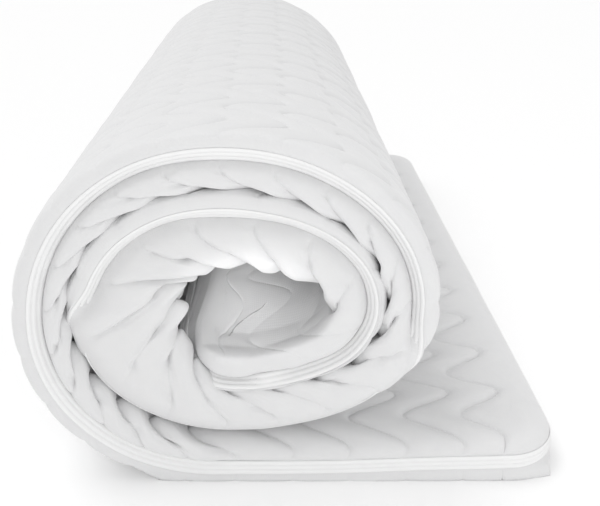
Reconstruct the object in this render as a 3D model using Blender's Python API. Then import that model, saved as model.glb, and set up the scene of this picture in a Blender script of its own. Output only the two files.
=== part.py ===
"""Mattress topper for a single bed, rolled up from one end, with its tail left flat on the floor.

Metres, +Z up. The roll lies along Y, which is the topper's width, and the tail points to +X.
The origin is on the floor, in the middle of the footprint.

The pad is one filled solid. It is drawn flat first, in lengthwise (s), crosswise (y) and upward (n)
distances from the edge tape's middle line, and each point is then carried round the roll's spiral.
"""

import math

import bmesh
import bpy
import numpy as np

# The topper laid flat
LENGTH = 2.018
WIDTH = 0.9
CORNER_R = 0.05
ABOVE_TAPE = 0.026
BELOW_TAPE = 0.021

# Edge tape, on its seat round all four sides
TAPE_HALF = 0.0075
TAPE_THICK = 0.0015
TAPE_RIB = 0.0006
CLEARANCE = 0.0003

# Quilting: wavy channels that cross the width, sewn through both faces
CHANNELS = 37
HALF_PITCH = LENGTH / CHANNELS / 2
WAVE_SWING = 0.026
WAVES = 12
WAVE_SKEW = 0.6
EDGE_SWING = 0.4
PUFF = 0.0010
SEWN_DEPTH = 0.0045
FADE_LENGTH = 0.07
UNEVEN = 0.0004

UNEVEN_TURN = 2.4

# Where the roll's inner side is squeezed, its puffs swell and its channels close
FULL_SQUEEZE = 0.17
SQUEEZE_CREASE = 0.003
WRAPPED_CREASE = 0.4
FREE_PUFF = 0.004
FREE_OVER = 30
MOST_BEND = 0.62

# The rounded edge, level by level from the top face to the bottom one. The topper's sides take the
# bent form where the roll squeezes their inner half out and draws their outer half in.
SEAT = TAPE_THICK + CLEARANCE
EDGE_ROWS = (
    # (flat inset, flat height, bent inset, bent height, share of the face's relief)
    (0.026, ABOVE_TAPE, 0.034, ABOVE_TAPE, 1.0),
    (0.014, 0.0225, 0.019, 0.0300, 0.9),
    (0.005, 0.0140, 0.008, 0.0330, 0.8),
    (SEAT, TAPE_HALF, SEAT, TAPE_HALF, 0.0),
    (SEAT, -TAPE_HALF, SEAT, -TAPE_HALF, 0.0),
    (0.0022, -0.0120, 0.0045, -0.0110, 0.2),
    (0.0035, -0.0180, 0.014, -0.0155, 0.5),
    (0.008, -BELOW_TAPE, 0.034, -BELOW_TAPE, 1.0),
)
EDGE_ZONE = 2 * HALF_PITCH

# The spiral of the tape's middle line, seen from the front: the angle runs clockwise from the bottom
ROLL_CENTRE = (0.0, 0.178)
TAIL_ROWS = (
    # (reach from the roll's centre, height): the tail's end lifts, and the roll's weight sinks the rest
    (0.319, 0.0260), (0.278, 0.0235), (0.240, 0.0220), (0.182, 0.0205), (0.125, 0.0176),
    (0.069, 0.0162), (0.030, 0.0160),
)
TURN_ROWS = (
    # (degrees turned, radius)
    (0, 0.162), (15, 0.1655), (30, 0.1695), (45, 0.172), (60, 0.173), (75, 0.171),
    (90, 0.1675), (120, 0.160), (150, 0.1535), (180, 0.1485), (210, 0.153), (240, 0.163),
    (255, 0.1665), (270, 0.1665), (285, 0.159), (300, 0.1445), (315, 0.129), (330, 0.1165),
    (345, 0.110), (360, 0.107), (390, 0.110), (420, 0.118), (450, 0.1205), (480, 0.1130),
    (510, 0.1035), (540, 0.0975), (570, 0.103), (600, 0.116), (615, 0.1205), (630, 0.1180),
    (645, 0.105), (660, 0.086), (675, 0.072), (690, 0.0635), (705, 0.0595), (720, 0.057),
    (735, 0.0565), (750, 0.0575), (790, 0.063),
)
LAST_TURN = TURN_ROWS[-1][0]
TAIL_TURN = (-90, -2)
SPAN_STEPS = 12
SMOOTHINGS = 6

# How the wraps fit one another: each fills the room up to the next one inside it
WRAP_GAP = 0.0014
LEAST_ABOVE = 0.0205
MOST_ABOVE = 0.033
LOOK_ROUND = 60
LIFT_OFF = 40
INSIDE_AFTER = 10
INSIDE_OVER = 16
BLUR = 5

# Near the floor the underside's relief fades out, and it lies flat
FLOOR_SNAP = 0.0055
CLEAR_FROM = 1.2 * BELOW_TAPE

# The innermost turn has room, so its inner side sags and swells
SWELL_ROWS = (
    # (degrees turned, extra height of the inner face)
    (405, 0.0), (420, 0.018), (436, 0.034), (455, 0.035), (480, 0.027), (505, 0.021),
    (540, 0.018), (580, 0.018), (610, 0.010), (640, 0.0), (690, 0.004), (790, 0.004),
)


def through(points, steps):
    """A smooth line through the points: a Catmull-Rom curve with this many steps a span."""
    points = np.array([2 * points[0] - points[1], *points, 2 * points[-1] - points[-2]])
    line = []
    for p0, p1, p2, p3 in zip(points, points[1:], points[2:], points[3:]):
        for t in np.arange(steps) / steps:
            line.append(
                0.5 * (2 * p1 + (p2 - p0) * t + (2 * p0 - 5 * p1 + 4 * p2 - p3) * t**2
                       + (3 * p1 - p0 - 3 * p2 + p3) * t**3)
            )
    return np.array([*line, points[-2]])


def smoothstep(x):
    """0 below 0, 1 above 1, and a soft rise between."""
    x = np.clip(x, 0, 1)
    return x * x * (3 - 2 * x)


class Spiral:
    """The tape's middle line, from the tail's end (s = 0) to the end in the roll's middle."""

    def __init__(self):
        """Works out the line's points, its normals and how far the pad fills the room inside it."""
        degrees, radii = through(np.array(TURN_ROWS), SPAN_STEPS).T
        turned = np.radians(degrees)
        across, up = ROLL_CENTRE
        roll = np.column_stack([across - radii * np.sin(turned), up - radii * np.cos(turned)])
        tail = through(np.array(TAIL_ROWS) + [across, 0], SPAN_STEPS // 2)
        points = np.vstack([tail, roll])
        for _ in range(SMOOTHINGS):
            points[1:-1] = (points[:-2] + 2 * points[1:-1] + points[2:]) / 4
        steps = np.hypot(*np.diff(points, axis=0).T)
        self.distance = np.concatenate([[0], np.cumsum(steps)])
        self.points = points
        tangents = np.gradient(points, self.distance, axis=0)
        self.tangents = tangents / np.linalg.norm(tangents, axis=1)[:, None]
        self.degrees = np.concatenate([np.linspace(*TAIL_TURN, len(tail)), degrees])
        self.above = self.fill()

    def spacing(self):
        """Shortest way from each of the line's points to the next wrap inside it."""
        shortest = np.full(len(self.points), np.inf)
        for k, point in enumerate(self.points):
            inside = np.abs(self.degrees - self.degrees[k] - 360) < LOOK_ROUND
            if inside.any():
                shortest[k] = np.hypot(*(self.points[inside] - point).T).min()
        return shortest

    def fill(self):
        """Height of the pad's inner face over the line: up to the next wrap, or swollen where free."""
        covered = self.at(LENGTH, self.degrees) - 360 + INSIDE_AFTER
        room = self.spacing() - BELOW_TAPE - WRAP_GAP - 2 * (PUFF + UNEVEN)
        room = np.clip(room, LEAST_ABOVE, MOST_ABOVE)
        swell_at, swell = np.array(SWELL_ROWS).T
        free = ABOVE_TAPE + np.interp(self.degrees, swell_at, swell)
        wrapped = smoothstep(self.degrees / LIFT_OFF)
        inside = smoothstep((self.degrees - covered) / INSIDE_OVER)
        above = ABOVE_TAPE + (room - ABOVE_TAPE) * wrapped
        above = above * (1 - inside) + free * inside
        above = np.minimum(above, MOST_BEND / np.maximum(self.curvature(self.distance), 1))
        padded = np.pad(above, BLUR // 2, mode="edge")
        return np.convolve(padded, np.ones(BLUR) / BLUR, mode="valid")

    def at(self, s, values):
        """One of the line's values at these distances along it."""
        return np.interp(s, self.distance, values)

    def curvature(self, s):
        """How tightly the line bends at these distances, in 1/m."""
        angle = np.unwrap(np.arctan2(self.tangents[:, 1], self.tangents[:, 0]))
        return -self.at(s, np.gradient(angle, self.distance))

    def squeeze(self, s):
        """How hard the bend squeezes the pad's inner side, from 0 where it lies flat to 1."""
        return np.clip(self.curvature(s) * ABOVE_TAPE / FULL_SQUEEZE, 0, 1)

    def carry(self, s, y, n):
        """Points given on the flat topper, bent round the roll. Past an end the line runs straight on."""
        within = np.clip(s, 0, LENGTH)
        x, z = self.at(within, self.points[:, 0]), self.at(within, self.points[:, 1])
        tx, tz = self.at(within, self.tangents[:, 0]), self.at(within, self.tangents[:, 1])
        size = np.hypot(tx, tz)
        tx, tz, beyond = tx / size, tz / size, s - within
        return np.column_stack([x + tx * beyond + tz * n, y, z + tz * beyond - tx * n])


SPIRAL = Spiral()


def rested(points):
    """Whatever comes this near the floor lies flat on it under the topper's weight."""
    points[:, 2] = np.where(points[:, 2] < FLOOR_SNAP, 0, points[:, 2])
    return points


class FlatGrid:
    """The topper's columns and rows while it is flat, with its rounded outline."""

    def __init__(self):
        """Places two columns a channel, a sewn one and a crest, and the rows that the waves need."""
        self.columns = np.arange(2 * CHANNELS + 1) * HALF_PITCH
        turns = np.arange(2 * WAVES + 1)
        skewed = turns / 2 + np.where(turns % 2 == 1, WAVE_SKEW - 0.5, 0)
        self.rows = skewed / WAVES * WIDTH - WIDTH / 2
        self.last = (len(self.columns) - 1, len(self.rows) - 1)

    def swing(self, i, j, inset=0):
        """How far the waves shift a column's point lengthwise. It fades out towards both ends."""
        s = self.columns[i]
        fade = smoothstep((min(s, LENGTH - s) - EDGE_ZONE / 2) / FADE_LENGTH)
        if j in (0, self.last[1]):
            return WAVE_SWING * fade * (-EDGE_SWING + (1 + EDGE_SWING) * inset / EDGE_ZONE)
        return WAVE_SWING * fade * (1 if j % 2 == 1 else -1)

    def border_point(self, i, j, inset):
        """A point of the border, this far inside the outline."""
        corner = np.array([LENGTH / 2 - CORNER_R, WIDTH / 2 - CORNER_R])
        nominal = np.array([self.columns[i] - LENGTH / 2, self.rows[j]])
        side, reach = np.sign(nominal), np.abs(nominal) - corner
        on_end, on_side = i in (0, self.last[0]), j in (0, self.last[1])
        if on_end and on_side:
            out = side * math.sqrt(0.5)
        elif on_side:
            lean = np.clip(reach[0] / CORNER_R, 0, 1)
            out = side * [lean, math.sqrt(1 - lean**2)]
        else:
            lean = np.clip(reach[1] / CORNER_R, 0, 1)
            out = side * [math.sqrt(1 - lean**2), lean]
        centre = side * np.minimum(np.abs(nominal), corner)
        point = centre + (CORNER_R - inset) * out + [LENGTH / 2, 0]
        if on_side and not on_end:
            point[0] += self.swing(i, j, inset)
        return point

    def face_point(self, i, j, inset):
        """A point of a face. The outermost columns and rows close up to make room for the rounding."""
        if i in (0, self.last[0]) or j in (0, self.last[1]):
            return self.border_point(i, j, inset)
        s = drawn_in(self.columns[i], LENGTH, inset) + self.swing(i, j)
        y = drawn_in(self.rows[j] + WIDTH / 2, WIDTH, inset) - WIDTH / 2
        return np.array([s, y])

    def border(self):
        """The (column, row) pairs round the border, as one loop."""
        i_end, j_end = self.last
        return (
            [(i, 0) for i in range(i_end)]
            + [(i_end, j) for j in range(j_end)]
            + [(i, j_end) for i in range(i_end, 0, -1)]
            + [(0, j) for j in range(j_end, 0, -1)]
        )


def drawn_in(place, whole, inset):
    """Squeezes the first and last stretch of a side into what the rounded edge leaves of it."""
    from_end = min(place, whole - place)
    moved = inset * max(0.0, 1 - from_end / EDGE_ZONE)
    return place + math.copysign(moved, whole / 2 - place)


def relief(i, s, side):
    """Height of a column's puff or sewn channel on the top (side 1) or bottom (side -1) face."""
    if i in (0, 2 * CHANNELS):
        return 0
    crest = i % 2 == 1
    uneven = UNEVEN * math.sin(UNEVEN_TURN * i)
    if side < 0:
        lifted = smoothstep((SPIRAL.at(s, SPIRAL.points[:, 1]) - CLEAR_FROM) / BELOW_TAPE)
        return lifted * (PUFF + uneven if crest else -SEWN_DEPTH)
    squeeze = SPIRAL.squeeze(s)
    bend = SPIRAL.curvature(s) * SPIRAL.at(s, SPIRAL.above) / MOST_BEND
    slack = np.clip((1 - bend) / MOST_BEND, 0, 1)
    uncovered = SPIRAL.at(s, SPIRAL.degrees) - LAST_TURN + 360 + INSIDE_AFTER
    free = slack * smoothstep(uncovered / FREE_OVER)
    if crest:
        return PUFF + uneven + FREE_PUFF * free * squeeze
    return -SEWN_DEPTH - SQUEEZE_CREASE * squeeze * (WRAPPED_CREASE + (1 - WRAPPED_CREASE) * free)


def edge_level(level, i, j, s):
    """Inset and height of one level of the rounded edge, with the relief and the swelling it takes."""
    flat_inset, flat_height, bent_inset, bent_height, share = EDGE_ROWS[level]
    across_end = i in (0, 2 * CHANNELS) and j not in (0, 2 * WAVES)
    bent = 0 if across_end else SPIRAL.squeeze(s)
    inset = flat_inset + (bent_inset - flat_inset) * bent
    height = flat_height + (bent_height - flat_height) * bent
    if height < 0:
        return inset, height - share * relief(i, s, -1)
    swell = SPIRAL.at(s, SPIRAL.above) - ABOVE_TAPE
    return inset, height + share * (relief(i, s, 1) + swell)


def pad_mesh(grid):
    """The filled pad: its top and bottom faces, joined by the rings of the rounded edge."""
    flat, faces, numbers = [], [], {}
    lowest = len(EDGE_ROWS) - 1

    def add(key, s, y, n):
        numbers[key] = len(flat)
        flat.append((s, y, n))

    for level in (0, lowest):
        for i in range(len(grid.columns)):
            for j in range(len(grid.rows)):
                inset = edge_level(level, i, j, grid.columns[i])[0]
                s, y = grid.face_point(i, j, inset)
                add((level, i, j), s, y, edge_level(level, i, j, s)[1])
    for level in range(1, lowest):
        for i, j in grid.border():
            inset, height = edge_level(level, i, j, grid.border_point(i, j, 0)[0])
            s, y = grid.border_point(i, j, inset)
            add((level, i, j), s, y, height)
    for i in range(len(grid.columns) - 1):
        for j in range(len(grid.rows) - 1):
            square = [(i, j), (i + 1, j), (i + 1, j + 1), (i, j + 1)]
            faces.append([numbers[0, a, b] for a, b in square])
            faces.append([numbers[lowest, a, b] for a, b in reversed(square)])
    loop = grid.border()
    for level in range(lowest):
        for (a, b), (c, d) in zip(loop, loop[1:] + loop[:1]):
            faces.append([numbers[level + 1, a, b], numbers[level + 1, c, d],
                          numbers[level, c, d], numbers[level, a, b]])
    s, y, n = np.array(flat).T
    return rested(SPIRAL.carry(s, y, n)), faces


def tape_mesh(grid):
    """The ribbed tape, one closed band round the topper's four sides."""
    profile = (
        (TAPE_THICK, -TAPE_HALF), (TAPE_THICK, TAPE_HALF), (TAPE_RIB, TAPE_HALF),
        (0, TAPE_HALF / 2), (TAPE_RIB, 0), (0, -TAPE_HALF / 2), (TAPE_RIB, -TAPE_HALF),
    )
    flat, faces = [], []
    loop = grid.border()
    for i, j in loop:
        for inset, height in profile:
            s, y = grid.border_point(i, j, inset)
            flat.append((s, y, height))
    size = len(profile)
    for k in range(len(loop)):
        here, there = k * size, (k + 1) % len(loop) * size
        for m in range(size):
            after = (m + 1) % size
            faces.append([here + m, here + after, there + after, there + m])
    s, y, n = np.array(flat).T
    return SPIRAL.carry(s, y, n), faces


def fabric(name, colour, roughness):
    """A plain matt cloth material."""
    made = bpy.data.materials.new(name)
    made.use_nodes = True
    shader = made.node_tree.nodes["Principled BSDF"]
    shader.inputs["Base Color"].default_value = (*colour, 1)
    shader.inputs["Roughness"].default_value = roughness
    shader.inputs["Metallic"].default_value = 0
    return made


def add_piece(name, points, faces, material):
    """One named object with its faces pointing outwards."""
    mesh = bpy.data.meshes.new(name)
    mesh.from_pydata([tuple(p) for p in points], [], faces)
    made = bmesh.new()
    made.from_mesh(mesh)
    bmesh.ops.recalc_face_normals(made, faces=made.faces)
    bmesh.ops.triangulate(made, faces=made.faces)
    made.to_mesh(mesh)
    made.free()
    mesh.materials.append(material)
    mesh.shade_smooth()
    piece = bpy.data.objects.new(name, mesh)
    bpy.context.scene.collection.objects.link(piece)
    return piece


def main():
    """Builds the pad and its tape, with the origin in the middle of their footprint."""
    for old in list(bpy.data.objects):
        bpy.data.objects.remove(old)
    grid = FlatGrid()
    pad_points, pad_faces = pad_mesh(grid)
    tape_points, tape_faces = tape_mesh(grid)
    both = np.vstack([pad_points, tape_points])
    middle = (both.min(axis=0) + both.max(axis=0)) / 2
    middle[2] = 0
    knit = fabric("quilted knit", (0.86, 0.86, 0.86), 0.9)
    tape = fabric("woven tape", (0.93, 0.93, 0.93), 0.75)
    add_piece("quilted_pad", pad_points - middle, pad_faces, knit)
    add_piece("edge_tape", tape_points - middle, tape_faces, tape)


main()
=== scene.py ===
"""Looks of a mattress topper that lies rolled up from one end, with its other end flat on the floor.

Metres, +Z up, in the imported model's frame. The roll lies along Y and the tail points to +X.
The pad and its edge tape are drawn on the flat topper, in lengthwise (s), crosswise (y) and upward (n)
distances from the tape's middle line, and are then carried round the roll's spiral.
"""

import logging
import math
from dataclasses import dataclass, field
from enum import Enum

import bpy
import numpy as np
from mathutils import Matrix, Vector


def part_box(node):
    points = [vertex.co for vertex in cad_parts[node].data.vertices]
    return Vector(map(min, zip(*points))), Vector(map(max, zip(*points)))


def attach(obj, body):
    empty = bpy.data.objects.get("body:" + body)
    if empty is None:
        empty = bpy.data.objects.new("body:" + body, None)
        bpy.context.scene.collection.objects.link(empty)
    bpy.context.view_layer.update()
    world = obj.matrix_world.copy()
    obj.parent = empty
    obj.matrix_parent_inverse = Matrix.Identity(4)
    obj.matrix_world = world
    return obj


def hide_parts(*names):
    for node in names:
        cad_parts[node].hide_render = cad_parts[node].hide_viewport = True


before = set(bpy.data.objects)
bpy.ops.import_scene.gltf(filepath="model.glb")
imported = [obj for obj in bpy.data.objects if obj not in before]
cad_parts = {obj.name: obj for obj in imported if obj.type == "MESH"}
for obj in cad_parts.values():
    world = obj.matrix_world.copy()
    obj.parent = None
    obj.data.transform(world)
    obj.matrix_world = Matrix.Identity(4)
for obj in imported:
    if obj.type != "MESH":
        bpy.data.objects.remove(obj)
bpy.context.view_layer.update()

# How far the tail's end lies from the roll's centre
TAIL_REACH = 0.319
LOG = logging.getLogger("mattress_topper")
Pairs = tuple[tuple[float, float], ...]
Place = tuple[float, float, float]


class Face(Enum):
    """The topper's two faces, named for the way that the roll turns them."""

    INNER = 1
    OUTER = -1


def linear(colour: str) -> tuple[float, float, float, float]:
    """Turns an sRGB hex colour to the linear one that a shader takes.

    Args:
        colour: Six hex digits after a hash.

    Returns:
        Red, green, blue and a full alpha.
    """
    parts = [int(colour[k : k + 2], 16) / 255 for k in (1, 3, 5)]
    lit = [c / 12.92 if c <= 0.04045 else ((c + 0.055) / 1.055) ** 2.4 for c in parts]
    return (*lit, 1.0)


def smoothstep(x: np.ndarray) -> np.ndarray:
    """Gives 0 below 0, 1 above 1, and a soft rise between."""
    x = np.clip(x, 0, 1)
    return x * x * (3 - 2 * x)


def through(rows: Pairs | np.ndarray, steps: int) -> np.ndarray:
    """Draws a smooth Catmull-Rom line through points.

    Args:
        rows: One point a row.
        steps: How many points the line gets in each span. With 1 it is the points themselves.

    Returns:
        The line's points, one a row.
    """
    rows = np.array(rows, dtype=float)
    points = np.array([2 * rows[0] - rows[1], *rows, 2 * rows[-1] - rows[-2]])
    line = []
    for p0, p1, p2, p3 in zip(points, points[1:], points[2:], points[3:]):
        for t in np.arange(steps) / steps:
            line.append(
                0.5 * (2 * p1 + (p2 - p0) * t + (2 * p0 - 5 * p1 + 4 * p2 - p3) * t**2
                       + (3 * p1 - p0 - 3 * p2 + p3) * t**3)
            )
    return np.array([*line, points[-2]])


def ripple(x: np.ndarray, y: np.ndarray, size: float, seed: int) -> np.ndarray:
    """Gives a smooth, slow unevenness, the same in every run.

    Args:
        x: First coordinate, in metres.
        y: Second coordinate, in metres.
        size: Rough width of one swell, in metres.
        seed: Which unevenness it is.

    Returns:
        Values from about -1 to 1.
    """
    draw = np.random.default_rng(seed)
    total = np.zeros_like(x)
    waves = 7
    for _ in range(waves):
        turn, phase = draw.uniform(0, 2 * math.pi, 2)
        pace = math.pi / size * draw.uniform(0.6, 1.5)
        total += np.sin(pace * (x * math.cos(turn) + y * math.sin(turn)) + phase)
    return total / math.sqrt(waves) / 1.5


@dataclass
class Roll:
    """The spiral that the tape's middle line follows, from the tail's end to the end in the middle."""

    centre_x: float
    centre_z: float = 0.178
    length: float = 2.012
    above_tape: float = 0.026
    below_tape: float = 0.021
    wrap_gap: float = 0.0036
    least_above: float = 0.0205
    most_above: float = 0.033
    most_bend: float = 0.78
    full_squeeze: float = 0.17
    floor_snap: float = 0.0055
    # Reach from the roll's centre and height of the tail
    tail: Pairs = (
        (TAIL_REACH, 0.0260), (0.278, 0.0235), (0.240, 0.0220), (0.182, 0.0205), (0.125, 0.0176),
        (0.069, 0.0162), (0.030, 0.0160),
    )
    # Degrees turned, clockwise from the bottom, and radius
    turns: Pairs = (
        (0, 0.162), (15, 0.1655), (30, 0.1695), (45, 0.172), (60, 0.173), (75, 0.171),
        (90, 0.1675), (120, 0.160), (150, 0.1535), (180, 0.1485), (210, 0.153), (240, 0.163),
        (255, 0.1665), (270, 0.1665), (285, 0.159), (300, 0.1445), (315, 0.129), (330, 0.1165),
        (345, 0.110), (360, 0.107), (390, 0.110), (420, 0.118), (450, 0.1205), (480, 0.1130),
        (510, 0.1035), (540, 0.0975), (570, 0.103), (600, 0.116), (615, 0.1205), (630, 0.1180),
        (645, 0.105), (660, 0.086), (675, 0.072), (690, 0.0635), (705, 0.0595), (720, 0.057),
        (735, 0.0565), (750, 0.0575), (790, 0.063),
    )
    # Degrees turned and extra height of the inner face, where the innermost turn has room to swell
    swells: Pairs = (
        (380, 0.0), (400, 0.030), (430, 0.052), (455, 0.054), (480, 0.041), (505, 0.028), (540, 0.018),
        (580, 0.018), (600, 0.006), (640, -0.006), (670, -0.010), (790, -0.010),
    )
    # The same beside the tape only, where the puffs hang over the next wrap's edge and the lobe fills the
    # end's cut-off corners, and how far in that reaches
    rim_swells: Pairs = (
        (300, 0.0), (320, 0.004), (362, 0.006), (378, 0.018), (390, 0.034), (400, 0.040), (415, 0.042),
        (428, 0.022), (442, 0.004), (455, 0.0),
    )
    rim_swell_over: float = 0.055
    # Degrees over which the innermost turn's floor starts to rise further in, how far, from what inset and
    # over what depth
    rises: tuple[float, float] = (600, 680)
    rise: float = 0.034
    rise_from: float = 0.015
    rise_over: float = 0.07
    # Degrees turned and how far the inner face is pushed on round the roll from the tape below it
    drifts: Pairs = (
        (372, 0.0), (400, 0.0), (430, 0.006), (455, 0.032), (480, 0.025), (505, 0.020), (540, 0.012),
        (580, 0.0),
    )
    # Degrees turned and how far the tape leans inwards, in degrees
    leans: Pairs = (
        (-30, 0), (0, 12), (45, 30), (90, 42), (180, 44), (240, 48), (270, 58), (300, 50), (325, 30),
        (430, 55), (470, 58), (540, 50), (600, 50), (640, 62), (690, 70), (800, 72),
    )
    # Degrees turned and how far the tape is drawn down to the outer face, at the floor of the roll's middle
    sinks: Pairs = ((560, 0.0), (610, 0.006), (645, 0.010), (800, 0.010))
    # Degrees turned over which the rim folds over the tape and hides it, and over which it lets go
    tucks: tuple[float, float, float, float] = (268, 308, 422, 466)
    span_steps: int = 12
    smoothings: int = 6
    squeeze_smoothings: int = 40

    def __post_init__(self) -> None:
        """Works out the line's points, its tangents and how far the pad fills the room inside it."""
        degrees, radii = through(self.turns, self.span_steps).T
        turned = np.radians(degrees)
        rolled = np.column_stack(
            [self.centre_x - radii * np.sin(turned), self.centre_z - radii * np.cos(turned)]
        )
        tail = through(np.array(self.tail) + [self.centre_x, 0], self.span_steps // 2)
        points = np.vstack([tail, rolled])
        for _ in range(self.smoothings):
            points[1:-1] = (points[:-2] + 2 * points[1:-1] + points[2:]) / 4
        steps = np.hypot(*np.diff(points, axis=0).T)
        self.points = points
        self.distance = np.concatenate([[0], np.cumsum(steps)])
        tangents = np.gradient(points, self.distance, axis=0)
        self.tangents = tangents / np.linalg.norm(tangents, axis=1)[:, None]
        self.degrees = np.concatenate([np.linspace(-90, -2, len(tail)), degrees])
        self.squeezes = np.clip(self.curvature(self.distance) * self.above_tape / self.full_squeeze, 0, 1)
        for _ in range(self.squeeze_smoothings):
            self.squeezes[1:-1] = (self.squeezes[:-2] + 2 * self.squeezes[1:-1] + self.squeezes[2:]) / 4
        self.above = self.fill()

    def at(self, s: np.ndarray, values: np.ndarray) -> np.ndarray:
        """Reads one of the line's values at distances along it."""
        return np.interp(s, self.distance, values)

    def degrees_at(self, s: np.ndarray) -> np.ndarray:
        """Tells how far the line has turned at distances along it."""
        return self.at(s, self.degrees)

    def listed(self, s: np.ndarray, rows: Pairs, steps: int = 1) -> np.ndarray:
        """Reads a list of degrees and values at distances along the line.

        Args:
            s: Distances along the line.
            rows: The list.
            steps: More than 1 draws a smooth line through its rows.

        Returns:
            The values there.
        """
        turned, values = through(rows, steps).T
        return np.interp(self.degrees_at(s), turned, values)

    def curvature(self, s: np.ndarray) -> np.ndarray:
        """Tells how tightly the line bends at distances along it, in 1/m."""
        angle = np.unwrap(np.arctan2(self.tangents[:, 1], self.tangents[:, 0]))
        return -self.at(s, np.gradient(angle, self.distance))

    def squeeze(self, s: np.ndarray) -> np.ndarray:
        """Tells how hard the bend squeezes the inner side, from 0 where it lies flat to 1."""
        return self.at(s, self.squeezes)

    def tuck(self, s: np.ndarray) -> np.ndarray:
        """Tells how far the rim folds over the tape, from 0 to 1."""
        degrees, (start, full, loose, end) = self.degrees_at(s), self.tucks
        return smoothstep((degrees - start) / (full - start)) * smoothstep((end - degrees) / (end - loose))

    def lean(self, s: np.ndarray) -> np.ndarray:
        """Tells how far the tape leans inwards, in radians."""
        return np.radians(self.listed(s, self.leans))

    def spacing(self) -> np.ndarray:
        """Measures the shortest way from each of the line's points to the next wrap inside it."""
        shortest = np.full(len(self.points), np.inf)
        for k, point in enumerate(self.points):
            inside = np.abs(self.degrees - self.degrees[k] - 360) < 60
            if inside.any():
                shortest[k] = np.hypot(*(self.points[inside] - point).T).min()
        return shortest

    @property
    def end_degrees(self) -> float:
        """How far the line has turned at the topper's end in the middle."""
        return float(self.at(self.length, self.degrees))

    def uncovered(self, s: np.ndarray, over: float) -> np.ndarray:
        """Tells where no wrap lies inside the pad, so that its inner face is free.

        Args:
            s: Distances along the line.
            over: Degrees over which it goes from covered to free.

        Returns:
            0 where it is covered, up to 1 where it is free.
        """
        return smoothstep((self.degrees_at(s) - (self.end_degrees - 360 + 10)) / over)

    def fill(self) -> np.ndarray:
        """Finds the inner face's height over the line: up to the next wrap, or swollen where free."""
        room = self.spacing() - self.below_tape - self.wrap_gap
        room = np.clip(room, self.least_above, self.most_above)
        free = self.above_tape + self.listed(self.distance, self.swells)
        inside = self.uncovered(self.distance, 16)
        above = self.above_tape + (room - self.above_tape) * smoothstep(self.degrees / 40)
        above = above * (1 - inside) + free * inside
        above = np.minimum(above, self.limit(self.distance))
        return np.convolve(np.pad(above, 2, mode="edge"), np.ones(5) / 5, mode="valid")

    def limit(self, s: np.ndarray) -> np.ndarray:
        """Tells how high the inner face may be before the bend folds it into itself."""
        opening = np.gradient(self.drift(self.distance), self.distance)
        bend = np.maximum(self.curvature(self.distance), 1)
        return self.at(s, (self.most_bend + np.clip(opening, -0.3, 0.6)) / bend)

    def raised(self, s: np.ndarray, from_side: np.ndarray) -> np.ndarray:
        """Finds how far the innermost turn's floor rises into the hollow, further in from the sides."""
        start, full = self.rises
        turned = smoothstep((self.degrees_at(s) - start) / (full - start))
        inward = np.maximum(from_side - self.rise_from, 0)
        return self.rise * turned * (1 - np.exp(-inward / self.rise_over))

    def beside(self, s: np.ndarray, from_side: np.ndarray) -> np.ndarray:
        """Finds how much higher the inner face is near the topper's sides.

        Args:
            s: Distances along the line.
            from_side: Distances from the nearer side.

        Returns:
            Metres over the height that it has further in.
        """
        more = self.listed(s, self.rim_swells, self.span_steps)
        more = more * np.exp(-((from_side / self.rim_swell_over) ** 2))
        above = self.at(s, self.above)
        return np.minimum(above + more, np.maximum(self.limit(s), above)) - above

    def drift(self, s: np.ndarray) -> np.ndarray:
        """Tells how far the inner face is pushed on round the roll, in metres."""
        return self.listed(s, self.drifts, self.span_steps)

    def directions(self, s: np.ndarray) -> tuple[np.ndarray, np.ndarray]:
        """Gives the line's unit tangent at distances along it, as its x and z parts."""
        tx, tz = self.at(s, self.tangents[:, 0]), self.at(s, self.tangents[:, 1])
        size = np.hypot(tx, tz)
        return tx / size, tz / size

    def carry(self, flat: np.ndarray) -> np.ndarray:
        """Bends points of the flat topper round the roll. Past an end the line runs straight on.

        Args:
            flat: Rows of s, y and n.

        Returns:
            Rows of x, y and z.
        """
        s, y, n = flat.T
        within = np.clip(s, 0, self.length)
        x, z = self.at(within, self.points[:, 0]), self.at(within, self.points[:, 1])
        tx, tz = self.directions(within)
        share = np.clip(n / self.at(within, self.above), 0, 1)
        beyond = s - within + self.drift(within) * share**1.3
        return np.column_stack([x + tx * beyond + tz * n, y, z + tz * beyond - tx * n])

    def rested(self, points: np.ndarray) -> np.ndarray:
        """Lays whatever comes near the floor flat on it.

        Args:
            points: Rows of x, y and z.

        Returns:
            The same rows, with none below the floor.
        """
        z = points[:, 2]
        sunk = smoothstep((z - self.floor_snap) / self.floor_snap)
        points[:, 2] = np.where(z < self.floor_snap, 0, z * sunk + (1 - sunk) * z * 0.5)
        return points


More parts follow.
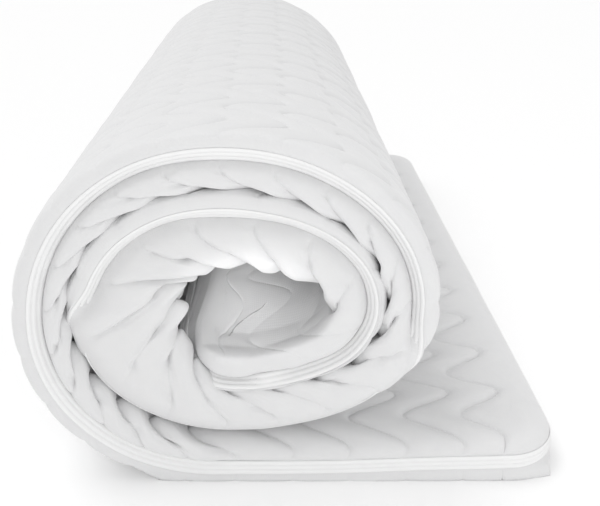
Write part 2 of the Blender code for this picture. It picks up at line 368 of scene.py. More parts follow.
@dataclass
class Quilting:
    """The wavy channels that are sewn across the width, through both faces."""

    length: float
    width: float = 0.9
    corner: float = 0.05
    # Channel numbers and their distances from the tail's end: the roll packs them closer on its first turn
    placed: Pairs = ((0, 0.0665), (5, 0.339), (26, 1.326), (38, 1.968))
    swing: float = 0.026
    waves: int = 12
    first_crest: float = 0.0075
    fade_from: float = 0.006
    fade_over: float = 0.076
    depth: float = 0.0042
    puff: float = 0.0008
    # How far apart slopes are measured
    step: float = 0.001

    @property
    def wavelength(self) -> float:
        """Width that one wave takes up."""
        return self.width / self.waves

    @property
    def sewn(self) -> np.ndarray:
        """Where the channels lie along the topper."""
        numbers, places = np.array(self.placed).T
        return np.interp(np.arange(numbers[-1] + 1), numbers, places)

    def fade(self, s: np.ndarray) -> np.ndarray:
        """Tells how much of the waves is left, from 0 at the topper's ends to 1."""
        return smoothstep((np.minimum(s, self.length - s) - self.fade_from) / self.fade_over)

    def shift(self, s: np.ndarray, across: np.ndarray) -> np.ndarray:
        """Finds how far the waves move a channel lengthwise.

        Args:
            s: Distances along the topper.
            across: Distances over the cloth from the near side's tape.

        Returns:
            Metres along the topper.
        """
        phase = 2 * math.pi * (across - self.first_crest) / self.wavelength
        return -self.swing * self.fade(s) * np.cos(phase)

    def straightness(self, s: np.ndarray, across: np.ndarray) -> np.ndarray:
        """Gives the cosine of a channel's slant, by which the way across it is shorter than along s."""
        rise = self.shift(s, across + self.step) - self.shift(s, across - self.step)
        return 1 / np.sqrt(1 + (rise / (2 * self.step)) ** 2)


@dataclass(frozen=True)
class RimShape:
    """One shape of the topper's rounded edge.

    Each row is an inset from the outline and a height over the tape's middle line. The inner rows run
    from the inner face to the tape, and the outer rows from the tape to the outer face.
    """

    inner: Pairs
    outer: Pairs
    # How far the waves run on over the rim, for each metre of it
    wave_pace: float


FLAT_RIM = RimShape(
    inner=(
        (0.0340, 0.0262), (0.0240, 0.0254), (0.0160, 0.0234), (0.0095, 0.0198), (0.0052, 0.0154),
        (0.0028, 0.0110), (0.0020, 0.0078),
    ),
    outer=(
        (0.0018, -0.0078), (0.0010, -0.0105), (0.0006, -0.0140), (0.0014, -0.0182), (0.0060, -0.0210),
        (0.0340, -0.0210),
    ),
    wave_pace=0.76,
)
# Where the roll bends it, the inner half is squeezed out into puffs
BENT_RIM = RimShape(
    inner=(
        (0.0340, 0.0262), (0.0200, 0.0296), (0.0080, 0.0306), (-0.0020, 0.0278), (-0.0050, 0.0195),
        (-0.0022, 0.0105), (0.0098, 0.0042),
    ),
    outer=(
        (0.0018, -0.0084), (0.0006, -0.0115), (0.0008, -0.0152), (0.0030, -0.0188), (0.0100, -0.0207),
        (0.0340, -0.0210),
    ),
    wave_pace=0.85,
)
# Where it also folds over the tape, the tape lies under it against the wrap outside
TUCKED_RIM = RimShape(
    inner=(
        (0.0340, 0.0262), (0.0200, 0.0300), (0.0080, 0.0310), (-0.0020, 0.0275), (-0.0056, 0.0150),
        (-0.0044, -0.0030), (0.0032, -0.0140),
    ),
    outer=(
        (0.0210, -0.0185), (0.0228, -0.0195), (0.0250, -0.0202), (0.0275, -0.0207), (0.0305, -0.0210),
        (0.0340, -0.0210),
    ),
    wave_pace=0.7,
)


@dataclass
class Rim:
    """The topper's rounded edge, whose shape changes along the roll."""

    roll: Roll
    steps: int = 6
    half_tape: float = 0.0075
    seat_depth: float = 0.0018
    swell_over: float = 0.0060
    fold_over: float = 0.0085
    swell: float = 2.6
    # Insets and heights of the tape's inner and outer edges, half way to where the rim folds over it, and
    # there
    half_tucked: Pairs = ((0.0020, -0.0100), (0.0090, -0.0215))
    tucked: Pairs = ((0.0062, -0.0150), (0.0205, -0.0183))
    # Share of the faces' relief that each row takes
    inner_share: tuple[float, ...] = (1.0, 1.0, 1.0, 0.85, 0.6, 0.4, 0.0)
    outer_share: tuple[float, ...] = (0.0, 0.15, 0.25, 0.4, 0.7, 1.0)
    # How much each outer row fills out the tail's corners towards a square
    outer_square: tuple[float, ...] = (0.0, 0.05, 0.2, 0.42, 0.6, 0.6)

    def __post_init__(self) -> None:
        """Draws the shapes level by level, with the way each level faces and how far the waves run."""
        shapes, facings, waves = [], [], []
        for shape in (FLAT_RIM, BENT_RIM, TUCKED_RIM):
            halves = [through(rows, self.steps) for rows in (shape.inner, shape.outer)]
            facing, wave = [], []
            for half, seat in zip(halves, (-1, 0)):
                along = np.gradient(half, axis=0)
                facing.append(np.column_stack([along[:, 1], -along[:, 0]]))
                run = np.concatenate([[0], np.cumsum(np.linalg.norm(np.diff(half, axis=0), axis=1))])
                wave.append(np.abs(run - run[seat]) * shape.wave_pace)
            facing = np.vstack(facing)
            facing[0], facing[-1] = (0, 1), (0, -1)
            shapes.append(np.vstack(halves))
            facings.append(facing / np.linalg.norm(facing, axis=1)[:, None])
            waves.append(np.concatenate(wave))
        self.shapes, self.facings, self.waves = np.array(shapes), np.array(facings), np.array(waves)
        self.inner_count = len(halves[0])
        inner, outer, square = (
            np.clip(through(np.column_stack([r, r]), self.steps)[:, 0], 0, 1)
            for r in (self.inner_share, self.outer_share, self.outer_square)
        )
        self.share = np.concatenate([inner, outer])
        self.square = np.concatenate([np.zeros(self.inner_count), square])

    def tape_edges(self, s: np.ndarray, sideways: np.ndarray) -> tuple[np.ndarray, np.ndarray]:
        """Finds the tape's two edges in the rim's section.

        Args:
            s: Distances along the topper.
            sideways: 1 on the topper's sides and 0 on its ends.

        Returns:
            Insets and heights of the inner edge, and of the outer edge.
        """
        lean = self.roll.lean(s) * self.roll.squeeze(s) * sideways
        tuck = (self.roll.tuck(s) * sideways)[:, None]
        sunk = self.roll.listed(s, self.roll.sinks) * sideways
        lower = np.column_stack([np.zeros(len(s)), -self.half_tape * np.cos(lean) - sunk])
        upper = lower + 2 * self.half_tape * np.column_stack([np.sin(lean), np.cos(lean)])
        edges = []
        for edge, half_way, hidden in zip((upper, lower), self.half_tucked, self.tucked):
            loose, full = (1 - tuck) ** 2, tuck**2
            edges.append(edge * loose + np.array(half_way) * (1 - loose - full) + np.array(hidden) * full)
        upper, lower = edges
        along = lower - upper
        along = along / np.linalg.norm(along, axis=1)[:, None]
        return upper, upper + 2 * self.half_tape * along

    def blend(self, values: np.ndarray, weights: np.ndarray, level: int) -> np.ndarray:
        """Mixes one level of the three shapes' values by these weights."""
        return weights @ values[:, level]

    def to_seat(self, level: int) -> float:
        """Tells how near a level is to the tape: 1 beside it and 0 half way to the face."""
        if level < self.inner_count:
            way = (self.inner_count - 1 - level) / (self.inner_count - 1)
        else:
            way = (level - self.inner_count) / (len(self.share) - 1 - self.inner_count)
        return float(smoothstep(np.array(1 - 2 * way)))


@dataclass
class PadSurface:
    """The pad's surface as two grids joined by rings, on the flat topper."""

    roll: Roll
    quilting: Quilting
    rim: Rim
    # Where the columns lie between two channels, as shares of the way, and how many rows a wave gets
    column_parts: tuple[float, ...] = (
        0.0, 0.025, 0.055, 0.09, 0.14, 0.20, 0.26, 0.32, 0.38, 0.44, 0.50, 0.56, 0.62, 0.68, 0.74, 0.80,
        0.86, 0.91, 0.945, 0.975,
    )
    wave_rows: int = 12
    # How deep into the faces the rim changes the waves' pace
    pace_over: float = 0.05
    # Gap between the tape's edges and the cloth, so that neither lies in the other
    tape_gap: float = 0.0003
    # Half width of a channel's slopes, and height and size of the faces' slow unevenness
    slope: float = 0.0045
    uneven: float = 0.0006
    uneven_over: float = 0.08
    # How much deeper the bend's squeeze makes the channels and higher the free puffs, and on the rim's lip
    squeeze_crease: float = 0.0035
    free_puff: float = 0.004
    lip_crease: float = 0.0044
    rim_puff: float = 0.0032
    lip_slope: float = 0.0015
    # Degrees past which the inner face lies calm, as the floor of the roll's middle, over how many degrees,
    # and the share of the channels' depth that goes
    calm_from: float = 615
    calm_over: float = 40
    calm_share: float = 0.84
    # Degrees between which the big lobe's bulge pulls the channels on the rim nearly smooth, and how nearly
    smoothed: tuple[float, float] = (402, 436)
    smoothed_share: float = 0.8
    # Pinches that branch off the channels on the squeezed rim, each within these limits
    pinches: int = 2
    pinch_seed: int = 12
    pinch_start: tuple[float, float] = (0.006, 0.034)
    pinch_reach: tuple[float, float] = (0.007, 0.019)
    pinch_rise: tuple[float, float] = (-0.011, 0.009)
    pinch_bow: tuple[float, float] = (-0.003, 0.003)
    pinch_depth: tuple[float, float] = (0.0012, 0.0046)
    pinch_width: float = 0.0021

    def __post_init__(self) -> None:
        """Places the columns, rows and levels, and numbers the points."""
        quilting, parts = self.quilting, np.array(self.column_parts)
        edges = np.concatenate([[0], quilting.sewn, [quilting.length]])
        spans = [low + (high - low) * parts for low, high in zip(edges, edges[1:])]
        self.columns = np.concatenate([*spans, [quilting.length]])
        waves = np.arange(quilting.waves)[:, None] + np.arange(self.wave_rows) / self.wave_rows
        self.rows = np.append(waves.ravel() * quilting.wavelength, quilting.width)
        self.last = len(self.rim.share) - 1
        wide, tall = len(self.columns), len(self.rows)
        self.grids, self.rings = {}, {}
        count = 0
        for level in (0, self.last):
            self.grids[level] = count + np.arange(wide * tall).reshape(wide, tall)
            count += wide * tall
        self.loop_i, self.loop_j = self.border()
        for level in range(self.last + 1):
            if level in self.grids:
                self.rings[level] = self.grids[level][self.loop_i, self.loop_j]
            else:
                self.rings[level] = count + np.arange(len(self.loop_i))
                count += len(self.loop_i)
        self.count = count

    def border(self) -> tuple[np.ndarray, np.ndarray]:
        """Lists the columns and rows round the border, as one loop."""
        last_i, last_j = len(self.columns) - 1, len(self.rows) - 1
        loop = (
            [(i, 0) for i in range(last_i)]
            + [(last_i, j) for j in range(last_j)]
            + [(i, last_j) for i in range(last_i, 0, -1)]
            + [(0, j) for j in range(last_j, 0, -1)]
        )
        i, j = np.array(loop).T
        return i, j

    def outline(self, i: np.ndarray, j: np.ndarray) -> tuple[np.ndarray, ...]:
        """Finds where a column and a row meet on the flat topper, with its rounded corners.

        Args:
            i: Column numbers.
            j: Row numbers.

        Returns:
            The point that the corner's roundness starts from, the way out, the reach along it, and
            how much longer the reach would be to a square corner, as a factor less 1.
        """
        corner = self.quilting.corner
        half = np.array([self.quilting.length / 2, self.quilting.width / 2])
        nominal = np.column_stack([self.columns[i], self.rows[j]]) - half
        side, past = np.sign(nominal), np.abs(nominal) - (half - corner)
        past = np.maximum(past, 0)
        reach = past.max(axis=1)
        share = np.divide(past.min(axis=1), reach, out=np.zeros(len(reach)), where=reach > 0)
        lean = share * math.pi / 4
        endward = past[:, 0] > past[:, 1]
        out = np.column_stack(
            [np.where(endward, np.cos(lean), np.sin(lean)), np.where(endward, np.sin(lean), np.cos(lean))]
        )
        start = side * np.minimum(np.abs(nominal), half - corner)
        return start, side * out, reach, 1 / np.cos(lean) - 1

    def place(self, i: np.ndarray, j: np.ndarray, level: int) -> np.ndarray:
        """Places points of one level on the flat topper.

        Args:
            i: Column numbers.
            j: Row numbers.
            level: Which level of the rim. The first and last also hold the two faces.

        Returns:
            Rows of s, y and n.
        """
        start, out, reach, to_square = self.outline(i, j)
        levels, roll, quilting, corner = self.rim, self.roll, self.quilting, self.quilting.corner
        reach = reach * (1 + to_square * levels.square[level])
        sideways = out[:, 1] ** 2
        spot = start + out * (reach * (corner - levels.shapes[0, level, 0]) / corner)[:, None]
        s = spot[:, 0] + quilting.length / 2
        hold = self.hold(s, level)
        s = s + hold * quilting.shift(s, self.across(spot[:, 1], sideways, s, level))
        weights = self.weights(s, sideways)
        section = levels.blend(levels.shapes, weights, level)
        section = section + self.seating(s, sideways, weights, level)
        facing = levels.blend(levels.facings, weights, level)
        facing = facing / np.linalg.norm(facing, axis=1)[:, None]
        spot = start + out * (reach * (corner - section[:, 0]) / corner)[:, None]
        s, y = spot[:, 0] + quilting.length / 2, spot[:, 1]
        across = self.across(y, sideways, s, level)
        s = s + hold * quilting.shift(s, across)
        relief = levels.share[level] * self.relief(level, i, s, across)
        rimward = relief * facing[:, 0] * reach / corner
        s, y = s - out[:, 0] * rimward, y - out[:, 1] * rimward
        n = section[:, 1] + relief * facing[:, 1]
        if level < levels.inner_count:
            seat = levels.shapes[0, levels.inner_count - 1, 1]
            rise = (levels.shapes[0, level, 1] - seat) / (levels.shapes[0, 0, 1] - seat)
            from_side = quilting.width / 2 - np.abs(y)
            n = n + rise * (roll.at(s, roll.above) + roll.beside(s, from_side) - roll.above_tape)
        n = n + roll.raised(s, quilting.width / 2 - np.abs(y))
        return np.column_stack([s, y, n])

    def hold(self, s: np.ndarray, level: int) -> np.ndarray:
        """Tells how far the waves may move a level of the rim without spoiling the rounded corners."""
        from_end = np.minimum(s, self.quilting.length - s)
        edge, corner = self.rim.shapes[0, :, 0], self.quilting.corner
        held = 1 - smoothstep((from_end - 0.9 * corner) / corner)
        return 1 - held * (1 - smoothstep(edge[level] / edge[0]))

    def weights(self, s: np.ndarray, sideways: np.ndarray) -> np.ndarray:
        """Weighs the rim's three shapes at distances along the topper."""
        tuck = self.roll.tuck(s) * sideways
        bent = self.roll.squeeze(s) * sideways * (1 - tuck)
        return np.column_stack([1 - bent - tuck, bent, tuck])

    def seating(self, s: np.ndarray, sideways: np.ndarray, weights: np.ndarray, level: int) -> np.ndarray:
        """Finds how far to move a level of the rim so that the tape fits in it.

        Args:
            s: Distances along the topper.
            sideways: 1 on the topper's sides and 0 on its ends.
            weights: Weights of the rim's shapes.
            level: Which level.

        Returns:
            Rows of inset and height.
        """
        rim = self.rim
        upper, lower = rim.tape_edges(s, sideways)
        down = (lower - upper) / (2 * rim.half_tape)
        inward = np.column_stack([-down[:, 1], down[:, 0]]) * rim.seat_depth
        inner = level < rim.inner_count
        beside = upper - down * self.tape_gap if inner else lower + down * self.tape_gap
        if inner:
            # The puffs swell over most of the tape where it starts to fold under
            tuck = self.roll.tuck(s) * sideways
            cover = rim.fold_over * (4 * tuck * (1 - tuck)) ** 1.6
            beside = beside + down * cover[:, None]
            inward = inward * (1 - rim.swell * smoothstep(cover / rim.swell_over))[:, None]
        seat = rim.inner_count - 1 if inner else rim.inner_count
        return (beside + inward - rim.blend(rim.shapes, weights, seat)) * rim.to_seat(level)

    def across(self, y: np.ndarray, sideways: np.ndarray, s: np.ndarray, level: int) -> np.ndarray:
        """Measures over the cloth from the near side's tape, which sets how far the waves have run.

        Args:
            y: Crosswise places.
            sideways: 1 on the topper's sides and 0 on its ends.
            s: Distances along the topper.
            level: Which level of the rim. The first and last also hold the two faces.

        Returns:
            Metres.
        """
        levels, width = self.rim, self.quilting.width
        from_side = width / 2 - np.abs(y)
        if level in self.grids:
            weights = self.weights(s, np.ones(len(s)))
            edge = levels.shapes[0, level, 0]
            more = levels.blend(levels.waves, weights, level) - edge
            over = from_side + more * np.exp(-np.maximum(from_side - edge, 0) / self.pace_over)
        else:
            wave = levels.blend(levels.waves, self.weights(s, sideways), level)
            over = from_side * (1 - sideways) + wave * sideways
        return np.where(y < 0, over, width - over)

    def relief(self, level: int, i: np.ndarray, s: np.ndarray, across: np.ndarray) -> np.ndarray:
        """Finds the puffs' and channels' height on a face or rim.

        Args:
            level: Which level of the rim.
            i: Column numbers.
            s: Distances along the topper.
            across: Distances over the cloth from the near side's tape.

        Returns:
            Heights over the plain face, outwards.
        """
        quilting, roll, rim = self.quilting, self.roll, self.rim
        column, sewn = self.columns[i], quilting.sewn
        away = np.abs(column[:, None] - sewn[None, :]).min(axis=1)
        away = away * quilting.straightness(s, across)
        squeeze, degrees = roll.squeeze(s), roll.degrees_at(s)
        face = Face.INNER if level < rim.inner_count else Face.OUTER
        deep = np.full(len(s), quilting.depth)
        full = quilting.puff + self.uneven * ripple(s, across, self.uneven_over, 3 + face.value)
        slope, pinches = self.slope, 0.0
        if face is Face.INNER:
            slack = 1 - roll.curvature(s) * roll.at(s, roll.above) / roll.most_bend
            bare = roll.uncovered(s, 30)
            free = np.clip(slack / roll.most_bend, 0, 1) * bare
            free = free * smoothstep((self.calm_from - degrees) / 60)
            calmer = smoothstep((degrees - self.calm_from) / self.calm_over)
            squeeze = squeeze * (1 - calmer)
            # The rim's puffs and channels are strongest on its lip
            lip = max(0.0, 1 - abs(2 * level / (rim.inner_count - 1) - 0.75)) * squeeze
            deep = deep * (1 - self.calm_share * bare * calmer)
            deep = deep + self.squeeze_crease * squeeze * (0.4 + 0.6 * free) + self.lip_crease * lip
            full = full + self.free_puff * free * squeeze + self.rim_puff * lip
            slope = slope + self.lip_slope * lip
            over = np.minimum(across, quilting.width - across)
            middle, half = np.mean(self.smoothed), np.ptp(self.smoothed) / 2
            bulge = smoothstep(1.6 - 1.6 * np.abs(degrees - middle) / half)
            deep = deep * (1 - self.smoothed_share * bulge * smoothstep((0.06 - over) / 0.02))
            pinches = squeeze * (1 - bare * calmer) * smoothstep((0.055 - over) / 0.015)
            pinches = pinches * self.pinched(column, over)
        else:
            lift = smoothstep((roll.at(s, roll.points[:, 1]) - 1.2 * roll.below_tape) / roll.below_tape)
            # On the floor the relief is pressed flat, and only its slanting ends below the tape stay
            way = (level - rim.inner_count) / (self.last - rim.inner_count)
            on_rim = 1.3 * smoothstep(np.array(1.6 - 3.2 * abs(way - 0.45)))
            deep, full = 0.75 * deep * np.maximum(lift, on_rim), full * lift
        # Near the topper's ends the waves die out and crowd the cloth, which smooths it
        step = quilting.step
        crowd = (quilting.shift(s + step, across) - quilting.shift(s - step, across)) / (2 * step)
        calmed = smoothstep((0.95 + crowd) / 0.45)
        return (full - (deep + full) * np.exp(-away / slope)) * calmed - pinches

    def pinched(self, column: np.ndarray, over: np.ndarray) -> np.ndarray:
        """Finds how deep the pinches are that branch off the nearest channel.

        Args:
            column: Places along the topper before the waves move them.
            over: Distances over the cloth from the nearer side's tape.

        Returns:
            Metres: above 0 in a pinch, and a little below 0 in the soft swellings beside it.
        """
        sewn, draw = self.quilting.sewn, np.random.default_rng(self.pinch_seed)
        nearest = np.abs(column[:, None] - sewn[None, :]).argmin(axis=1)
        along = column - sewn[nearest]
        total = np.zeros(len(column))
        limits = (self.pinch_start, self.pinch_reach, self.pinch_rise, self.pinch_bow, self.pinch_depth)
        for side in [-1, 1] * self.pinches:
            start, reach, rise, bow, depth = (draw.uniform(*limit, len(sewn))[nearest] for limit in limits)
            t = (side * along * reach + (over - start) * rise) / (reach**2 + rise**2)
            t = np.clip(t, 0, 1)
            away = np.hypot(side * along - t * reach, over - start - t * rise - bow * 4 * t * (1 - t))
            trough = np.exp(-((away / self.pinch_width) ** 2))
            swelling = 0.35 * np.exp(-((away / self.pinch_width / 1.4 - 1.7) ** 2))
            total += depth * (1 - t**2) * (trough - swelling)
        return total

    def flat(self) -> np.ndarray:
        """Places all the points on the flat topper, as rows of s, y and n."""
        points = np.zeros((self.count, 3))
        wide, tall = len(self.columns), len(self.rows)
        grid_i, grid_j = (a.ravel() for a in np.meshgrid(range(wide), range(tall), indexing="ij"))
        for level in range(self.last + 1):
            if level in self.grids:
                points[self.grids[level].ravel()] = self.place(grid_i, grid_j, level)
            else:
                points[self.rings[level]] = self.place(self.loop_i, self.loop_j, level)
        return points

    def faces(self) -> np.ndarray:
        """Lists the four-sided faces, pointing outwards."""
        made = []
        for level, grid in self.grids.items():
            square = np.stack([grid[:-1, :-1], grid[1:, :-1], grid[1:, 1:], grid[:-1, 1:]], axis=-1)
            square = square.reshape(-1, 4)
            made.append(square[:, ::-1] if level == self.last else square)
        for level in range(self.last):
            here, there = self.rings[level + 1], self.rings[level]
            made.append(np.column_stack([here, np.roll(here, -1), np.roll(there, -1), there]))
        return np.vstack(made)

    def over_rim(self, points: np.ndarray) -> np.ndarray:
        """Measures the way over the rim from the tape's seat to each point, at the topper's sides.

        Args:
            points: The points on the flat topper.

        Returns:
            Metres: above 0 on the inner half, below 0 on the outer one.
        """
        over = np.zeros(self.count)
        seat = self.rim.inner_count - 1
        for sign, chain in ((1, range(seat, -1, -1)), (-1, range(seat + 1, self.last + 1))):
            run = np.zeros(len(self.loop_i))
            for before, after in zip(chain, chain[1:]):
                step = points[self.rings[after]] - points[self.rings[before]]
                run = run + np.linalg.norm(step[:, 1:], axis=1)
                over[self.rings[after]] = sign * run
            grid = self.grids[chain[-1]]
            for edge, column in ((0, grid[:, 0]), (-1, grid[:, -1])):
                reach = np.abs(points[grid, 1] - points[column, 1][:, None])
                nearer = reach < self.quilting.width / 2
                over[grid[nearer]] = (over[column][:, None] + sign * reach)[nearer]
        return over


def add_node(tree: bpy.types.NodeTree, kind: str, settings: dict, links: dict) -> bpy.types.Node:
    """Adds one shader node.

    Args:
        tree: The material's or world's node tree.
        kind: Blender's name of the node's type.
        settings: Its properties by name, and its inputs' values by name or number.
        links: The output socket that feeds each input, by the input's name or number.

    Returns:
        The new node.
    """
    node = tree.nodes.new(kind)
    for name, value in settings.items():
        if isinstance(name, str) and hasattr(node, name):
            setattr(node, name, value)
        else:
            node.inputs[name].default_value = value
    for name, socket in links.items():
        tree.links.new(socket, node.inputs[name])
    return node


def blank_material(name: str, roughness: float) -> bpy.types.Material:
    """Makes a matt material, which its finish then colours."""
    made = bpy.data.materials.new(name)
    made.use_nodes = True
    made.node_tree.nodes["Principled BSDF"].inputs["Roughness"].default_value = roughness
    return made


def ribs(tree: bpy.types.NodeTree, cloth: bpy.types.Node, way: str, values: dict) -> bpy.types.NodeSocket:
    """Adds even ribs over the cloth's map.

    Args:
        tree: The material's node tree.
        cloth: The node of the cloth's map.
        way: X for ribs across the cloth or Y for ribs along it.
        values: The wave texture's inputs by name.

    Returns:
        The socket with the ribs' heights, from 0 to 1.
    """
    settings = {"wave_type": "BANDS", "bands_direction": way, "wave_profile": "SIN", "Detail": 1.0}
    wave = add_node(tree, "ShaderNodeTexWave", {**settings, **values}, {"Vector": cloth.outputs["UV"]})
    return wave.outputs["Fac"]


def rib_scale(millimetres: float) -> float:
    """Gives the wave texture's scale for ribs this wide: its ring is 2 pi / (20 * scale)."""
    return 2 * math.pi / 20 / (millimetres / 1000)


def raise_threads(
    tree: bpy.types.NodeTree, heights: bpy.types.NodeSocket, strength: float, metres: float
) -> None:
    """Bumps a material's shader.

    Args:
        tree: The material's node tree.
        heights: The socket with the heights, from 0 to 1.
        strength: How much of the bump shows.
        metres: The height of 1.
    """
    bump = add_node(tree, "ShaderNodeBump", {"Strength": strength, "Distance": metres}, {"Height": heights})
    tree.links.new(bump.outputs["Normal"], tree.nodes["Principled BSDF"].inputs["Normal"])


@dataclass(frozen=True)
class QuiltedKnit:
    """Polyester jersey knit, a double knit in white: matt, with fine wales and courses."""

    colour: str = "#E2E2E2"
    shade: str = "#DDDDDE"
    rib_mm: float = 2.2
    # Courses are this much coarser than wales
    course_share: float = 0.8
    rib_height_mm: float = 0.13
    roughness: float = 0.92
    sheen: float = 0.25
    sheen_roughness: float = 0.5
    fuzz_scale: float = 60.0

    def material(self) -> bpy.types.Material:
        """Builds the knit. Its wales run across the topper and its courses along it."""
        made = blank_material("polyester jersey knit", self.roughness)
        tree = made.node_tree
        inputs = tree.nodes["Principled BSDF"].inputs
        inputs["Sheen Weight"].default_value = self.sheen
        inputs["Sheen Roughness"].default_value = self.sheen_roughness
        cloth = add_node(tree, "ShaderNodeUVMap", {"uv_map": "cloth"}, {})
        scale = rib_scale(self.rib_mm)
        wales = ribs(tree, cloth, "X", {"Scale": scale, "Distortion": 0.6, "Detail Scale": 0.4})
        scale = scale * self.course_share
        courses = ribs(tree, cloth, "Y", {"Scale": scale, "Distortion": 0.8, "Detail Scale": 0.4})
        loops = add_node(tree, "ShaderNodeMath", {"operation": "MULTIPLY"}, {0: wales, 1: courses})
        fuzz = add_node(
            tree, "ShaderNodeTexNoise", {"Scale": self.fuzz_scale, "Detail": 3.0},
            {"Vector": cloth.outputs["UV"]},
        )
        tone = add_node(
            tree, "ShaderNodeMix", {"data_type": "RGBA", 6: linear(self.shade), 7: linear(self.colour)},
            {"Factor": fuzz.outputs["Fac"]},
        )
        tree.links.new(tone.outputs[2], inputs["Base Color"])
        raise_threads(tree, loops.outputs["Value"], 0.6, self.rib_height_mm / 1000)
        return made


@dataclass(frozen=True)
class WovenTape:
    """Woven polyester tape, whiter and a little smoother than the knit."""

    colour: str = "#EFEFEF"
    thread_mm: float = 1.1
    thread_height_mm: float = 0.05
    roughness: float = 0.75
    sheen: float = 0.15

    def material(self) -> bpy.types.Material:
        """Builds the tape, with its weft threads across its ribs."""
        made = blank_material("woven polyester tape", self.roughness)
        tree = made.node_tree
        inputs = tree.nodes["Principled BSDF"].inputs
        inputs["Base Color"].default_value = linear(self.colour)
        inputs["Sheen Weight"].default_value = self.sheen
        cloth = add_node(tree, "ShaderNodeUVMap", {"uv_map": "cloth"}, {})
        weft = ribs(tree, cloth, "X", {"Scale": rib_scale(self.thread_mm), "Distortion": 0.5})
        raise_threads(tree, weft, 0.5, self.thread_height_mm / 1000)
        return made


@dataclass(frozen=True)
class PaleFloor:
    """Matt white paper, as under a product in a studio."""

    colour: str = "#FDFDFD"
    roughness: float = 0.95

    def material(self) -> bpy.types.Material:
        """Builds the plain floor."""
        made = blank_material("matt white paper", self.roughness)
        made.node_tree.nodes["Principled BSDF"].inputs["Base Color"].default_value = linear(self.colour)
        return made


def new_piece(name: str, points: np.ndarray, faces: np.ndarray) -> bpy.types.Object:
    """Makes a smooth-shaded mesh object at the origin.

    Args:
        name: The piece's name.
        points: Rows of x, y and z.
        faces: Rows of point numbers.

    Returns:
        The new object.
    """
    mesh = bpy.data.meshes.new(name)
    mesh.from_pydata(points.tolist(), [], faces.tolist())
    mesh.shade_smooth()
    piece = bpy.data.objects.new(name, mesh)
    bpy.context.scene.collection.objects.link(piece)
    return piece


def map_cloth(piece: bpy.types.Object, u: np.ndarray, v: np.ndarray) -> None:
    """Gives a piece its map, from each point's place on the flat cloth in metres.

    Args:
        piece: The piece.
        u: Places along the cloth.
        v: Places across it.
    """
    layer = piece.data.uv_layers.new(name="cloth")
    corners = np.zeros(len(piece.data.loops), dtype=np.int32)
    piece.data.loops.foreach_get("vertex_index", corners)
    layer.data.foreach_set("uv", np.column_stack([u, v])[corners].astype(np.float32).ravel())


@dataclass
class QuiltedPad:
    """The filled pad in its quilted knit cover."""

    roll: Roll
    quilting: Quilting
    rim: Rim
    finish: QuiltedKnit = field(default_factory=QuiltedKnit)
    # How far the rims reach in from the sides and from the ends
    side_band: float = 0.06
    end_band: float = 0.034
    # Shares of the triangles that are kept where nothing shows and on the middle of the width, how far in
    # from the sides each starts, and how hard the middle is thinned
    hidden_kept: float = 0.04
    plain_kept: float = 0.42
    hidden_inset: float = 0.075
    plain_inset: float = 0.13
    plain_weight: float = 0.5

    def build(self) -> bpy.types.Object:
        """Builds, rolls, quilts and dresses the pad.

        Returns:
            The finished piece.
        """
        surface = PadSurface(self.roll, self.quilting, self.rim)
        flat = surface.flat()
        points = self.roll.rested(self.roll.carry(flat))
        piece = new_piece("quilted_topper", points, surface.faces())
        map_cloth(piece, *self.cloth(flat, surface.over_rim(flat)))
        self.thin(piece, flat)
        piece.data.materials.append(self.finish.material())
        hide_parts("quilted_pad")
        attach(piece, "root")
        return piece

    def cloth(self, flat: np.ndarray, over: np.ndarray) -> tuple[np.ndarray, np.ndarray]:
        """Finds where each point lies on the knit, which runs over the rims.

        Args:
            flat: The points on the flat topper.
            over: Their ways over the rim from the tape.

        Returns:
            Metres along the knit and across it.
        """
        s, y, n = flat.T
        u, v = s.copy(), y.copy()
        half_width, half_length = self.quilting.width / 2, self.quilting.length / 2
        at_side = np.abs(y) > half_width - self.side_band
        v[at_side] = (np.sign(y) * (half_width - np.abs(over)))[at_side]
        at_end = ~at_side & (np.abs(s - half_length) > half_length - self.end_band)
        u[at_end] = (s + np.sign(s - half_length) * (0.02 - np.abs(n)))[at_end]
        return u, v

    def thin(self, piece: bpy.types.Object, flat: np.ndarray) -> None:
        """Thins what lies hidden between the wraps, under the tail, and the plain middle of the width.

        Args:
            piece: The pad.
            flat: Its points on the flat topper.
        """
        s, y, n = flat.T
        degrees, half_width = self.roll.degrees_at(s), self.quilting.width / 2
        inner = (n > 0) & (degrees > 22) & (degrees < self.roll.end_degrees - 360 - 12)
        outer = (n < 0) & ((degrees > 372) | (degrees < -6))
        hidden = (inner | outer) & (np.abs(y) < half_width - self.hidden_inset)
        plain = ~hidden & (np.abs(y) < half_width - self.plain_inset)
        weights = np.where(hidden, 1.0, np.where(plain, self.plain_weight, 0.0))
        group = piece.vertex_groups.new(name="thinned")
        for weight in (1.0, self.plain_weight):
            group.add(np.flatnonzero(weights == weight).tolist(), weight, "REPLACE")
        thinner = piece.modifiers.new("thin", "DECIMATE")
        thinner.ratio = 1 - (1 - self.hidden_kept) * hidden.mean() - (1 - self.plain_kept) * plain.mean()
        thinner.vertex_group = "thinned"
        thinner.use_collapse_triangulate = False
        bpy.ops.object.select_all(action="DESELECT")
        bpy.context.view_layer.objects.active = piece
        piece.select_set(True)
        bpy.ops.object.modifier_apply(modifier=thinner.name)
        piece.vertex_groups.remove(piece.vertex_groups["thinned"])
        piece.data.shade_smooth()


